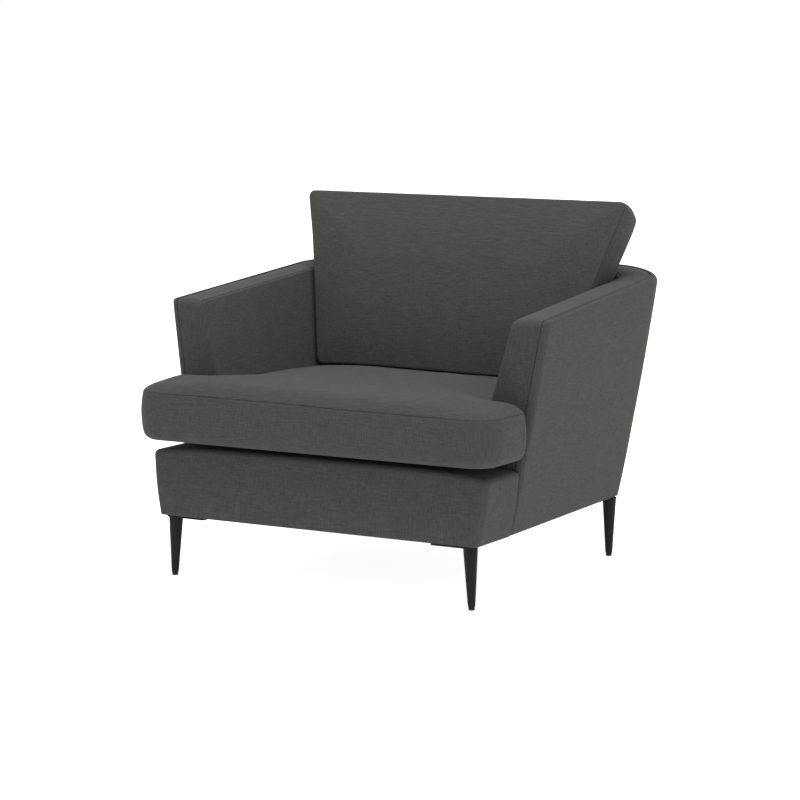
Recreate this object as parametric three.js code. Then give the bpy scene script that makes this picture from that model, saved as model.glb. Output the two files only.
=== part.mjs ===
// An upholstered armchair on four slim tapered legs. Millimetres, +Z up, the front towards -Y.
// The origin is on the floor under the middle of the chair. "left" is -X, as seen from the front.
//
// A hardwood frame carries sinuous seat springs and back webbing. Padded panels close the frame in:
// two flared arms that run round the rear corners into the back, and a front rail that reaches out
// in front of the arms. A loose T-shaped seat cushion lies on the sprung deck, and a loose boxed
// back cushion stands on it and leans on the back.
import * as THREE from "three";

// ---- Driving dimensions ------------------------------------------------------------------------

const gap = 0.6; // clearance between neighbouring pieces
const footZ = 5; // glide height
const plateZ = 141.7; // underside of the leg plates
const bodyZ = 147; // underside of the body
const deckZ = 325; // top of the sprung deck
const armZ = 634; // top of the arm at its front end
const armRise = 0.083; // slope of the arm's top, rising to the rear
const backZ = 698; // top of the back

const armFoot = { y: -269, z: 288 }; // where the arm's front face leaves the front rail
const armFrontLean = 0.055; // how far that face leans back, per unit of height

// Four lines give the shell's wall: outside and inside, at the bottom and at the top.
const outerLow = { frontX: 425, taper: 0.037, rearY: 361, radius: 36 };
const outerHigh = { frontX: 504.5, taper: 0.015, rearY: 479, radius: 165 };
const innerLow = { frontX: 336.5, taper: 0.028, rearY: 262, radius: 40 };
const innerHigh = { frontX: 418, taper: 0.024, rearY: 381, radius: 75 };

const outerPad = 18; // foam and cloth outside the frame
const innerPad = 34; // foam and cloth inside the arms and the back
const topPad = 46; // foam roll over the arms and the back
const frontPad = 24; // foam between them on the arms' front ends
const frontEdge = 14; // rounding of the arm's upper edges at the front
const rearEdge = 34; // rounding of the back's upper outer edge
const cornerSteps = 5;

const rail = {
  halfWidth: 425, // at the bottom; the ends flare out as the arms do
  flare: 0.162,
  frontY: -431,
  lean: 0.075,
  rearY: -270,
  sideZ: 290,
  middleZ: 312,
  corner: 25,
  pad: 24,
  timberZ: 256,
};

const timber = {
  thickness: 28, // of the front and rear seat rails
  sideThickness: 24,
  frontHalf: 396,
  rearHalf: 338,
  rearY: 322,
  blockHeight: 60,
  blockSize: 66,
  post: 30,
  armRail: 26,
  backRail: 44, // height of the two rails across the back
};
const legTopRadius = 16.6;
const legCollar = 4; // the straight part at the top
const legFootRadius = 8.4;
const legs = {
  front: { top: [394.7, -402], foot: [398.6, -403.2], plateWidth: 44, plateOutboard: 19 },
  rear: { top: [386, 321], foot: [386, 321], plateWidth: 36, plateOutboard: 12 },
};
const plateInboard = 92; // from the leg's axis to the plate's inboard end
const plateCorner = 12;
const studRadius = 4;

const seat = {
  frontY: -471,
  earRearY: -271.5,
  rearY: 250,
  earHalf: 474,
  bodyHalf: 363, // at seamZ, at the arms' front ends
  bottomZ: 326,
  seamZ: 440,
  crownZ: 474,
};

const back = {
  bottomZ: 453,
  topZ: 868,
  frontY: 139, // of the front seam at bottomZ
  lean: 0.337, // how far the front seam leans back, per unit of height
  depth: 96, // from the front panel to the rear one, level
  rearDrop: 30, // the rear panel sits lower by this, once clear of the seat
  bottomHalf: 338,
  topHalf: 442,
  rearNarrowing: 16,
  crownFront: 20,
  crownRear: 36,
};

const springs = {
  count: 5,
  spacing: 118,
  frontY: -392,
  rearY: 338,
  waves: 9,
  width: 44,
  wire: 2, // radius
  arch: 20,
};

const webbing = { x: 120, width: 60, thickness: 2.4, low: [302, 334], high: [400, 628] };

const deck = { thickness: 38, gap: 4, draft: 0.02, corner: 38 };

// Half widths of the dust cover, from the front to the rear.
const coverHalf = [[-404, 402], [-268, 402], [300, 384.5], [326, 383], [338, 375], [342, 362]];

const sides = [["left", -1], ["right", 1]];

// ---- Materials ---------------------------------------------------------------------------------

const cloth = new THREE.MeshStandardMaterial({ color: 0x4a4a48, roughness: 0.95, metalness: 0 });
const lining = new THREE.MeshStandardMaterial({ color: 0x1c1c1d, roughness: 0.95, metalness: 0 });
const wood = new THREE.MeshStandardMaterial({ color: 0xb58b5a, roughness: 0.7, metalness: 0 });
const steel = new THREE.MeshStandardMaterial({ color: 0x8d8f92, roughness: 0.35, metalness: 1 });
const blackMetal = new THREE.MeshStandardMaterial({ color: 0x202022, roughness: 0.45, metalness: 0.6 });
const plastic = new THREE.MeshStandardMaterial({ color: 0x121212, roughness: 0.6, metalness: 0 });

const chair = new THREE.Group();

function add(name, geometry, material) {
  const mesh = new THREE.Mesh(geometry, material.clone());
  mesh.name = name;
  chair.add(mesh);
  return mesh;
}

// ---- Shape helpers -----------------------------------------------------------------------------

const vec = (x, y, z) => new THREE.Vector3(x, y, z);
const mix = (a, b, t) => a + (b - a) * t;
const steps = (count) => Array.from({ length: count + 1 }, (_, i) => i / count);

// The area vector of a closed loop of points.
function loopNormal(loop) {
  const sum = vec(0, 0, 0);
  loop.forEach((p, i) => sum.add(p.clone().cross(loop[(i + 1) % loop.length])));
  return sum;
}

// Triangles that fill a nearly flat loop, turning the same way as the loop does.
function fillLoop(loop) {
  const normal = loopNormal(loop);
  const size = normal.toArray().map(Math.abs);
  const axis = size.indexOf(Math.max(...size));
  const flat = loop.map((p) => new THREE.Vector2(...p.toArray().filter((_, k) => k !== axis)));
  return THREE.ShapeUtils.triangulateShape(flat, []).map(([a, b, c]) => {
    const face = loop[b].clone().sub(loop[a]).cross(loop[c].clone().sub(loop[a]));
    return face.dot(normal) < 0 ? [a, c, b] : [a, b, c];
  });
}

// A closed solid through loops of points that all have the same number of points.
function loft(loops) {
  const count = loops[0].length;
  const last = (loops.length - 1) * count;
  const points = loops.flat();
  const faces = fillLoop(loops[0]).map(([a, b, c]) => [a, c, b]);
  for (let row = 0; row < last; row += count) {
    for (let i = 0; i < count; i++) {
      const j = (i + 1) % count;
      faces.push([row + i, row + j, row + count + j], [row + i, row + count + j, row + count + i]);
    }
  }
  fillLoop(loops.at(-1)).forEach((face) => faces.push(face.map((k) => k + last)));
  const volume = faces.reduce((sum, [a, b, c]) => {
    return sum + points[a].dot(points[b].clone().cross(points[c]));
  }, 0);
  const facing = volume < 0 ? faces.map(([a, b, c]) => [a, c, b]) : faces;
  const geometry = new THREE.BufferGeometry().setFromPoints(points);
  geometry.setIndex(facing.flat());
  return geometry;
}

// The same solid on the other side of the chair.
function mirrorLoops(loops) {
  return loops.map((loop) => loop.map((p) => vec(-p.x, p.y, p.z)));
}

function addPair(name, loops, material) {
  add(`${name}_left`, loft(mirrorLoops(loops)), material);
  add(`${name}_right`, loft(loops), material);
}

// Points that round off corner b between a and c.
function fillet(a, b, c, radius, count = 3) {
  const toA = a.clone().sub(b).normalize();
  const toC = c.clone().sub(b).normalize();
  const half = toA.angleTo(toC) / 2;
  const centre = toA.clone().add(toC).normalize().multiplyScalar(radius / Math.sin(half)).add(b);
  const start = toA.multiplyScalar(radius / Math.tan(half)).add(b).sub(centre);
  const end = toC.multiplyScalar(radius / Math.tan(half)).add(b).sub(centre);
  const sweep = start.angleTo(end);
  return steps(count).map((t) => {
    const s = Math.sin(sweep * (1 - t)) / Math.sin(sweep);
    const e = Math.sin(sweep * t) / Math.sin(sweep);
    return centre.clone().addScaledVector(start, s).addScaledVector(end, e);
  });
}

// A straight member of rectangular section between two points.
function beam(name, start, end, width, thickness, material = wood) {
  const along = end.clone().sub(start);
  const mesh = add(name, new THREE.BoxGeometry(width, thickness, along.length()), material);
  mesh.position.copy(start).addScaledVector(along, 0.5);
  mesh.quaternion.setFromUnitVectors(vec(0, 0, 1), along.normalize());
}

function beamPair(name, start, end, width, thickness) {
  const flip = (p) => vec(-p.x, p.y, p.z);
  beam(`${name}_left`, flip(start), flip(end), width, thickness);
  beam(`${name}_right`, start, end, width, thickness);
}

function box(name, low, high, material) {
  const size = high.map((v, k) => v - low[k]);
  const mesh = add(name, new THREE.BoxGeometry(...size), material);
  mesh.position.set(...low.map((v, k) => (v + high[k]) / 2));
}

// ---- The shell's wall --------------------------------------------------------------------------

function armFrontY(z) {
  return armFoot.y + armFrontLean * Math.max(0, z - armFoot.z);
}

// Height of the top at y along the arm, and on through the rear corner (turn 0 to 1).
function topZ(y, turn = 0) {
  const ease = turn * turn * (3 - 2 * turn);
  return mix(armZ + armRise * (y - armFoot.y), backZ, ease);
}

// A point in plan on one line of the wall. zone is side, corner or rear, and t runs 0 to 1 in it.
function planPoint(line, zone, t, frontY) {
  const centreY = line.rearY - line.radius;
  const sideX = (y) => line.frontX - line.taper * (y - armFoot.y);
  const centreX = sideX(centreY) - line.radius * Math.hypot(1, line.taper);
  const startAngle = Math.atan(line.taper);
  if (zone === "rear") return [mix(centreX, 0, t), line.rearY];
  if (zone === "corner") {
    const angle = mix(startAngle, Math.PI / 2, t);
    return [centreX + line.radius * Math.cos(angle), centreY + line.radius * Math.sin(angle)];
  }
  const y = mix(frontY, centreY + line.radius * Math.sin(startAngle), t);
  return [sideX(y), y];
}

// The wall's four edges at one place: outer and inner, low and high.
function wallAt(zone, t) {
  const [ox, oy] = planPoint(outerHigh, zone, t, armFrontY(armZ));
  const [ix, iy] = planPoint(innerHigh, zone, t, armFrontY(armZ));
  const [lx, ly] = planPoint(outerLow, zone, t, armFrontY(bodyZ));
  const [kx, ky] = planPoint(innerLow, zone, t, armFrontY(deckZ));
  const turn = { side: 0, corner: t, rear: 1 }[zone];
  const high = topZ(Math.min(oy, outerHigh.rearY - outerHigh.radius), turn);
  const wall = {
    outerLow: vec(lx, ly, bodyZ),
    outerHigh: vec(ox, oy, high),
    innerLow: vec(kx, ky, deckZ),
    innerHigh: vec(ix, iy, high),
  };
  wall.out = wall.outerHigh.clone().sub(wall.innerHigh).normalize();
  wall.upOuter = slopeUp(wall.outerLow, wall.outerHigh);
  wall.upInner = slopeUp(wall.innerLow, wall.innerHigh);
  wall.edge = zone === "side" ? mix(frontEdge, rearEdge, t) : rearEdge;
  return wall;
}

// The direction from low to high, per unit of height.
function slopeUp(low, high) {
  const way = high.clone().sub(low);
  return way.divideScalar(way.z);
}

function outerProfile(wall) {
  const top = wall.outerHigh.clone().addScaledVector(wall.upOuter, -(topPad + gap));
  const inward = (p) => p.clone().addScaledVector(wall.out, -outerPad);
  return [wall.outerLow, top, inward(top), inward(wall.outerLow)];
}

function innerProfile(wall) {
  const top = wall.innerHigh.clone().addScaledVector(wall.upInner, -(topPad + 2 * gap));
  const outward = (p) => p.clone().addScaledVector(wall.out, innerPad);
  return [wall.innerLow, top, outward(top), outward(wall.innerLow)];
}

function topProfile(wall, sink = 0) {
  const outerFoot = wall.outerHigh.clone().addScaledVector(wall.upOuter, -topPad);
  const innerFoot = wall.innerHigh.clone().addScaledVector(wall.upInner, -topPad);
  const outer = wall.outerHigh.clone().addScaledVector(wall.upOuter, -sink);
  const inner = wall.innerHigh.clone().addScaledVector(wall.upInner, -sink);
  return [
    outerFoot,
    ...fillet(outerFoot, outer, inner, wall.edge),
    ...fillet(outer, inner, innerFoot, frontEdge),
    innerFoot,
  ];
}

// Small breaks in t keep neighbouring panels of one wall apart.
const sideRun = [0, 0.022, 0.5, 0.998];
const cornerRun = steps(cornerSteps).map((t) => mix(0.004, 0.996, t));
const noseSink = 9; // the top rounds down over its first step from the front

function shellPanels() {
  const kinds = [
    ["arm_outer_pad", "corner_outer_pad", "back_outer_pad", outerProfile],
    ["arm_inner_pad", "corner_inner_pad", "back_inner_pad", innerProfile],
    ["arm_top_pad", "corner_top_pad", "back_top_pad", topProfile],
  ];
  for (const [arm, corner, middle, profile] of kinds) {
    addPair(arm, sideRun.map((t, k) => profile(wallAt("side", t), k ? 0 : noseSink)), cloth);
    addPair(corner, cornerRun.map((t) => profile(wallAt("corner", t))), cloth);
    const right = profile(wallAt("rear", 0.003));
    const left = mirrorLoops([right])[0];
    add(middle, loft([left, right]), cloth);
  }
}

// The foam between the two panels of an arm at its front end, from the seat rail to the top pad.
function armFronts() {
  const rise = (low, high, z, lowZ) => mix(low.frontX, high.frontX, (z - lowZ) / (armZ - lowZ));
  const loops = [rail.timberZ + 2, deckZ, armZ - topPad - 2 * gap].map((z) => {
    const outer = rise(outerLow, outerHigh, z, bodyZ) - outerPad - 3 * gap;
    const inner = rise(innerLow, innerHigh, z, deckZ) + innerPad + 3 * gap;
    const front = armFrontY(z);
    return [
      vec(outer, front, z),
      vec(outer, front + frontPad, z),
      vec(inner, front + frontPad, z),
      vec(inner, front, z),
    ];
  });
  addPair("arm_front_pad", loops, cloth);
}

// ---- The front rail ----------------------------------------------------------------------------

const railHalf = (z) => rail.halfWidth + rail.flare * (z - bodyZ);
const railFront = (z) => rail.frontY + rail.lean * (z - bodyZ);
const railSeatZ = rail.timberZ + 12; // underside of the rail's top pad

function railPads() {
  const frontLoops = [bodyZ, railSeatZ - gap].map((z) => {
    const half = railHalf(z);
    const front = railFront(z);
    const corner = (side) => {
      const turn = vec(side * half, front, z);
      return fillet(vec(side * half, 0, z), turn, vec(0, front, z), rail.corner, 4);
    };
    const rear = front + rail.corner + 2;
    const inside = front + rail.pad;
    return [
      vec(-half, rear, z),
      ...corner(-1),
      ...corner(1).reverse(),
      vec(half, rear, z),
      vec(half - 20, rear, z),
      vec(half - 26, inside, z),
      vec(26 - half, inside, z),
      vec(20 - half, rear, z),
    ];
  });
  add("rail_front_pad", loft(frontLoops), cloth);

  const endLoops = [bodyZ, railSeatZ - gap].map((z) => {
    const half = railHalf(z);
    const front = railFront(z) + rail.corner + 2 + gap;
    return [
      vec(half, front, z),
      vec(half, rail.rearY, z),
      vec(half - 20, rail.rearY, z),
      vec(half - 20, front, z),
    ];
  });
  addPair("rail_end_pad", endLoops, cloth);

  const halfTop = railHalf(rail.sideZ);
  const across = [-1, -0.985, -0.95, -0.6, -0.3, 0, 0.3, 0.6, 0.95, 0.985, 1];
  const topLoops = across.map((u) => {
    const crown = mix(rail.sideZ, rail.middleZ, 1 - Math.abs(u) ** 2.5);
    const end = Math.max(0, Math.abs(u) - 0.95) / 0.05;
    const front = railFront(rail.sideZ) + rail.corner * end * end;
    const top = crown - 8 * end * end;
    const x = halfTop * u;
    const seatX = Math.min(Math.abs(x), railHalf(railSeatZ) - 1) * Math.sign(u);
    return [
      vec(seatX, front, railSeatZ),
      vec(seatX, rail.rearY, railSeatZ),
      vec(x, rail.rearY, top),
      vec(x, front + 16, top),
      vec(x, front + 5, top - 4),
      vec(x, front, top - 13),
    ];
  });
  add("rail_top_pad", loft(topLoops), cloth);
}

// ---- The hardwood frame ------------------------------------------------------------------------

const timberLowZ = bodyZ + 3;
const railMidZ = (timberLowZ + rail.timberZ) / 2;
const railHeight = rail.timberZ - timberLowZ;
const armRailZ = armZ - topPad - 36; // middle of the arm's top rail at its front end

function seatRail(name, half, y) {
  beam(name, vec(-half, y, railMidZ), vec(half, y, railMidZ), railHeight, timber.thickness);
}

// A block that ties two seat rails together inside a corner, from its inner front corner.
function cornerBlock(name, sign, x, y) {
  const reach = [x, x + timber.blockSize].map((v) => sign * v).sort((a, b) => a - b);
  const low = [reach[0], y, timberLowZ];
  box(name, low, [reach[1], y + timber.blockSize, timberLowZ + timber.blockHeight], wood);
}

function timberFrame() {
  const frontY = rail.frontY + rail.pad + 10 + timber.thickness / 2;
  const sideFrontY = frontY + timber.thickness / 2 + 1;
  seatRail("front_seat_rail", timber.frontHalf, frontY);
  seatRail("rear_seat_rail", timber.rearHalf, timber.rearY);
  const sideFront = vec(388, sideFrontY, railMidZ);
  beamPair("side_seat_rail", sideFront, vec(362, 300, railMidZ), timber.sideThickness, railHeight);
  for (const [side, sign] of sides) {
    cornerBlock(`corner_block_front_${side}`, sign, 303, sideFrontY);
    cornerBlock(`corner_block_rear_${side}`, sign, 276, 240);
  }

  const postFoot = vec(388, -228, rail.timberZ + 4);
  const postHead = vec(457, -210, armZ - topPad - 12);
  beamPair("arm_front_post", postFoot, postHead, timber.post, timber.post + 2);
  const railStart = vec(453, -190, armRailZ);
  const railEnd = vec(440, 300, armRailZ + armRise * (300 + 190));
  beamPair("arm_top_rail", railStart, railEnd, timber.armRail, 40);
  const backPostFoot = vec(366, 326, rail.timberZ + 4);
  beamPair("back_post", backPostFoot, vec(404, 398, 640), timber.post, timber.post);
  beam("back_lower_rail", vec(-348, 334, 352), vec(348, 334, 352), timber.backRail, 26);
  beam("back_top_rail", vec(-376, 420, 610), vec(376, 420, 610), timber.backRail, 22);
}

// ---- Springs, webbing, deck and lining ---------------------------------------------------------

function seatSprings() {
  const section = new THREE.Shape();
  steps(6).slice(0, 6).forEach((t, i) => {
    const angle = 2 * Math.PI * t;
    const at = [springs.wire * Math.cos(angle), springs.wire * Math.sin(angle)];
    if (i === 0) section.moveTo(...at);
    else section.lineTo(...at);
  });
  for (let n = 0; n < springs.count; n++) {
    const middle = (n - (springs.count - 1) / 2) * springs.spacing;
    const points = steps(springs.waves * 4).map((t) => {
      const swing = Math.sin(2 * Math.PI * springs.waves * t) * (springs.width / 2);
      const lift = springs.arch * Math.sin(Math.PI * t) ** 2;
      return vec(middle + swing, mix(springs.frontY, springs.rearY, t), rail.timberZ + 4 + lift);
    });
    const path = new THREE.CatmullRomCurve3(points);
    const wave = new THREE.ExtrudeGeometry(section, { steps: springs.waves * 8, extrudePath: path });
    add(`seat_spring_${n + 1}`, wave, steel);
  }
}

function backWebbing() {
  const { x, width, thickness, low, high } = webbing;
  [-x, x].forEach((at, n) => {
    const name = `back_webbing_${n + 1}`;
    beam(name, vec(at, ...low), vec(at, ...high), width, thickness, lining);
  });
}

function deckAndLining() {
  const half = (y, z) => {
    return innerLow.frontX - innerLow.taper * (y - armFoot.y) - deck.gap - (deckZ - z) * deck.draft;
  };
  const low = deckZ - deck.thickness;
  const frontY = rail.rearY + 3;
  const rearY = innerLow.rearY - deck.gap;
  const deckLoops = [low, deckZ].map((z) => [
    vec(-half(frontY, z), frontY, z),
    vec(half(frontY, z), frontY, z),
    vec(half(rearY - deck.corner, z), rearY - deck.corner, z),
    vec(half(rearY, z) - deck.corner, rearY, z),
    vec(deck.corner - half(rearY, z), rearY, z),
    vec(-half(rearY - deck.corner, z), rearY - deck.corner, z),
  ]);
  add("seat_deck", loft(deckLoops), lining);
  const coverLoops = [bodyZ + 0.2, bodyZ + 2].map((z) => [
    ...coverHalf.map(([y, x]) => vec(x, y, z)),
    ...coverHalf.map(([y, x]) => vec(-x, y, z)).reverse(),
  ]);
  add("dust_cover", loft(coverLoops), lining);
}

// ---- Legs --------------------------------------------------------------------------------------

function legBody(leg, sign) {
  const profile = [
    [0, footZ],
    [legFootRadius, footZ],
    [legTopRadius, plateZ - legCollar],
    [legTopRadius, plateZ - gap],
    [studRadius, plateZ - gap],
    [studRadius, bodyZ - 0.3],
    [0, bodyZ - 0.3],
  ].map(([r, z]) => new THREE.Vector2(r, z));
  const geometry = new THREE.LatheGeometry(profile, 20).rotateX(Math.PI / 2);
  const splay = (k) => (leg.foot[k] - leg.top[k]) / (plateZ - footZ);
  const lean = new THREE.Matrix4().set(
    1, 0, -sign * splay(0), sign * (leg.top[0] + splay(0) * plateZ),
    0, 1, -splay(1), leg.top[1] + splay(1) * plateZ,
    0, 0, 1, 0,
    0, 0, 0, 1,
  );
  return geometry.applyMatrix4(lean);
}

// A flat steel plate that reaches inboard from the leg, with a rounded inboard end.
function legPlate(leg, sign) {
  const outline = new THREE.Shape();
  const half = leg.plateWidth / 2;
  const turn = half - plateCorner;
  outline.moveTo(leg.plateOutboard, -half);
  outline.lineTo(leg.plateOutboard, half);
  outline.lineTo(plateCorner - plateInboard, half);
  outline.quadraticCurveTo(-plateInboard, half, -plateInboard, turn);
  outline.lineTo(-plateInboard, -turn);
  outline.quadraticCurveTo(-plateInboard, -half, plateCorner - plateInboard, -half);
  const hole = new THREE.Path();
  hole.absarc(0, 0, studRadius + gap, 0, 2 * Math.PI, false);
  outline.holes.push(hole);
  const depth = bodyZ - plateZ - 0.3;
  const shape = { depth, bevelEnabled: false, curveSegments: 5 };
  const geometry = new THREE.ExtrudeGeometry(outline, shape);
  if (sign < 0) geometry.rotateZ(Math.PI);
  return geometry.translate(sign * leg.top[0], leg.top[1], plateZ);
}

function footGlide(leg, sign) {
  const profile = [[0, 0], [6.4, 0], [8, 1.6], [8.4, footZ - 0.3], [0, footZ - 0.3]];
  const points = profile.map(([r, z]) => new THREE.Vector2(r, z));
  const geometry = new THREE.LatheGeometry(points, 20).rotateX(Math.PI / 2);
  return geometry.translate(sign * leg.foot[0], leg.foot[1], 0);
}

function legSets() {
  for (const [end, leg] of Object.entries(legs)) {
    for (const [side, sign] of sides) {
      add(`leg_${end}_${side}`, legBody(leg, sign), blackMetal);
      add(`leg_plate_${end}_${side}`, legPlate(leg, sign), blackMetal);
      add(`foot_glide_${end}_${side}`, footGlide(leg, sign), plastic);
    }
  }
}

// ---- Cushions ----------------------------------------------------------------------------------

// The T-shaped plan at height z, drawn in by inset at the sides and by less along the short ears.
function seatLoop(z, inset, rear) {
  const flare = (innerHigh.frontX - innerLow.frontX) / (armZ - deckZ);
  const bodyHalf = (y) => {
    const side = Math.min(z, seat.seamZ) - seat.seamZ;
    return seat.bodyHalf + flare * side - innerLow.taper * (y - armFoot.y) - inset;
  };
  const ear = seat.earHalf - inset;
  const front = seat.frontY + inset * 0.55;
  const earRear = seat.earRearY - inset * 0.2;
  const at = (x, y) => vec(x, y, z);
  const right = [
    ...fillet(at(0, front), at(ear, front), at(ear, earRear), 62 - inset * 0.2, 4),
    ...fillet(at(ear, front), at(ear, earRear), at(0, earRear), 26),
    at(bodyHalf(earRear) + 4, earRear),
    at(bodyHalf(earRear + 6), earRear + 6),
    ...fillet(at(bodyHalf(0), 0), at(bodyHalf(rear), rear), at(0, rear), 40),
  ];
  const left = right.map((p) => vec(-p.x, p.y, p.z)).reverse();
  return [...right, ...left];
}

function seatCushion() {
  const { bottomZ, seamZ, crownZ, rearY } = seat;
  const rings = [
    [bottomZ, 14, rearY - 8],
    [bottomZ + 10, 4, rearY],
    [mix(bottomZ, seamZ, 0.5), 0, rearY],
    [seamZ - 10, 3, rearY],
    [seamZ, 10, rearY - 6],
    [seamZ + 14, 46, 120],
    [crownZ - 9, 96, 84],
    [crownZ, 150, 30],
  ];
  add("seat_cushion", loft(rings.map(([z, inset, rear]) => seatLoop(z, inset, rear))), cloth);
}

// The back cushion's section from its front panel at height z back to its rear panel, both crowned.
function backLoop(z, edge, crown) {
  const rise = z - back.bottomZ;
  const half = mix(back.bottomHalf, back.topHalf, rise / (back.topZ - back.bottomZ)) - edge;
  const front = back.frontY + back.lean * rise + edge;
  const rear = back.frontY + back.lean * rise + back.depth - edge;
  const rearZ = z - back.rearDrop * Math.min(1, rise / 300);
  const rearHalf = half - back.rearNarrowing;
  const bow = (u) => 1 - u * u;
  const across = [-1, -0.75, -0.4, 0, 0.4, 0.75, 1];
  return [
    ...across.map((u) => vec(u * half, front - back.crownFront * crown * bow(u), z)),
    ...across.reverse().map((u) => vec(u * rearHalf, rear + back.crownRear * crown * bow(u), rearZ)),
  ];
}

function backCushion() {
  const { bottomZ, topZ: top } = back;
  const rings = [
    [bottomZ, 16, 0.15],
    [bottomZ + 12, 3, 0.45],
    [bottomZ + 70, 0, 0.8],
    [mix(bottomZ, top, 0.5), 0, 1],
    [top - 90, 0, 0.8],
    [top - 20, 3, 0.4],
    [top - 3, 14, 0.15],
    [top, 22, 0],
  ];
  add("back_cushion", loft(rings.map(([z, edge, crown]) => backLoop(z, edge, crown))), cloth);
}

// ---- Assembly ----------------------------------------------------------------------------------

timberFrame();
seatSprings();
backWebbing();
deckAndLining();
shellPanels();
armFronts();
railPads();
legSets();
seatCushion();
backCushion();

export default chair;
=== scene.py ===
"""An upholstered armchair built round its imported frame. Metres, +Z up, the front towards -Y.

The frame's hardwood, springs and webbing stay as they are and get materials. Every padded CAD solid
is replaced by an upholstered piece in the same space: panels with rolled edges that meet in seams,
a crowned front rail, and two loose cushions.
"""
import math
import bpy
import bmesh
import numpy as np
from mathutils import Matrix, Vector, noise
from mathutils.geometry import delaunay_2d_cdt


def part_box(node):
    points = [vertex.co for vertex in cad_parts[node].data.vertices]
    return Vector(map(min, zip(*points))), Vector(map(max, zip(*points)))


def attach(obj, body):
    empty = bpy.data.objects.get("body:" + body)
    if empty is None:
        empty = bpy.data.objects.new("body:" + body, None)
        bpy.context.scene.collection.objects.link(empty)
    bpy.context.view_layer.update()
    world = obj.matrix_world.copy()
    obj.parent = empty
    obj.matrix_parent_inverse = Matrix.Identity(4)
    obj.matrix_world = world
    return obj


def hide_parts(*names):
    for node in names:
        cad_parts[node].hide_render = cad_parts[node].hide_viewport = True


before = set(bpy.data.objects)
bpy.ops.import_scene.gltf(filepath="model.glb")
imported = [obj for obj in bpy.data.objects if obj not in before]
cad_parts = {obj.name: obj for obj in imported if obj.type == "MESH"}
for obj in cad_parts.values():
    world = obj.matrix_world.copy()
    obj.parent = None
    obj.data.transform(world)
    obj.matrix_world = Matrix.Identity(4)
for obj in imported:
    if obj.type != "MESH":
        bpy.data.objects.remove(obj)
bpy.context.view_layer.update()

# ---- Places taken from the frame, and the shapes of the wall ----

BODY_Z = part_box("arm_outer_pad_right")[0].z
DECK_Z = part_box("seat_deck")[1].z
BACK_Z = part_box("back_top_pad")[1].z
PLATE_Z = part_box("leg_plate_front_right")[0].z
FRONT_LEG_TOP = (0.3947, -0.402)  # where the right front leg's axis meets its plate
ARM_FOOT_Y = -0.269  # the arm's front face, where it stands on the front rail
ARM_FOOT_Z = 0.288
ARM_LEAN = 0.055  # how far that face leans back above there, for each unit of height
ARM_Z = 0.634  # the arm's top at its front end
ARM_RISE = 0.083  # how far the arm's top climbs towards the back, for each unit of depth

# The wall's outer and inner face are each drawn between a low and a high line, here on the right: its
# x at the front, how much it narrows for each unit of depth, its rear y and its rear corner's radius.
OUTER_LOW = dict(front_x=0.425, taper=0.037, rear_y=0.361, radius=0.036)
OUTER_HIGH = dict(front_x=0.5080, taper=0.0205, rear_y=0.479, radius=0.165)
INNER_LOW = dict(front_x=0.3365, taper=0.028, rear_y=0.262, radius=0.040)
INNER_HIGH = dict(front_x=0.418, taper=0.024, rear_y=0.381, radius=0.075)

CURL = math.radians(2)  # how far a rolled edge turns past square, down into its seam
RIM_ANGLE = math.radians(50)  # a panel's hidden rim, where its cloth turns in, shades as an edge
STEP = 0.011  # spacing of points on open cloth
SEAM_SHADE_WIDTH = 0.0022  # cloth next to a seam that gets painted shade, standing in for the groove's shadow
SHELL_SEAM_SHADE = 0.4  # how strong the painted seam shade is on the shell, against the back cushion's
FRONT_SEAM_SHADE = 0.12  # and the painted seam shade down the arms' fronts, against the shell's other seams
NOSE = 0.014  # rounding of the arm's front upper edge
HOLLOW_SIZE = 0.16  # size and depth of the gentle hollows in the shell's cloth
HOLLOW_DEPTH = 0.0012


def mix(a, b, t):
    return a + (b - a) * t


def unit(v):
    return v / np.maximum(np.linalg.norm(v, axis=-1, keepdims=True), 1e-12)


def smooth(t):
    t = np.clip(t, 0, 1)
    return t * t * (3 - 2 * t)


def arm_front_y(z):
    return ARM_FOOT_Y + ARM_LEAN * max(0.0, z - ARM_FOOT_Z)


def plan_point(line, s, front_y):
    """A point on a wall line: s runs from 0 to 1 along the side, to 2 round the corner, and to 3 at the
    middle of the back."""
    front_x, taper, rear_y, radius = line.values()
    slope = math.hypot(1, taper)
    start = math.atan(taper)
    centre_y = rear_y - radius
    centre_x = front_x - taper * (centre_y - ARM_FOOT_Y) - radius * slope
    if s <= 1:
        y = mix(front_y, centre_y + radius * math.sin(start), s)
        return front_x - taper * (y - ARM_FOOT_Y), y
    if s <= 2:
        angle = mix(start, math.pi / 2, s - 1)
        return centre_x + radius * math.cos(angle), centre_y + radius * math.sin(angle)
    return mix(centre_x, 0, s - 2), rear_y


def top_z(s, y):
    ease = smooth(s - 1) if s > 1 else 0.0
    side_y = min(y, OUTER_HIGH["rear_y"] - OUTER_HIGH["radius"])
    return mix(ARM_Z + ARM_RISE * (side_y - ARM_FOOT_Y), BACK_Z, float(ease))


def wall_point(low, high, low_z, s, h):
    """A point on a face of the wall: s along it, h from 0 at low_z to 1 at the top."""
    front_high = arm_front_y(ARM_Z)
    front_low = arm_front_y(low_z)
    hx, hy = plan_point(high, s, front_high)
    lx, ly = plan_point(low, s, front_low)
    _, top_y = plan_point(OUTER_HIGH, s, front_high)
    z = mix(low_z, top_z(s, top_y), h)
    point = np.array([mix(lx, hx, h), mix(ly, hy, h), z])
    if s < 1:
        point[1] += (1 - s) * (arm_front_y(z) - mix(front_low, front_high, h))
    return point


def outer_point(s, h):
    return wall_point(OUTER_LOW, OUTER_HIGH, BODY_Z, s, h)


def inner_point(s, h):
    return wall_point(INNER_LOW, INNER_HIGH, DECK_Z, s, h)


# ---- Mesh tools ----

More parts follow.
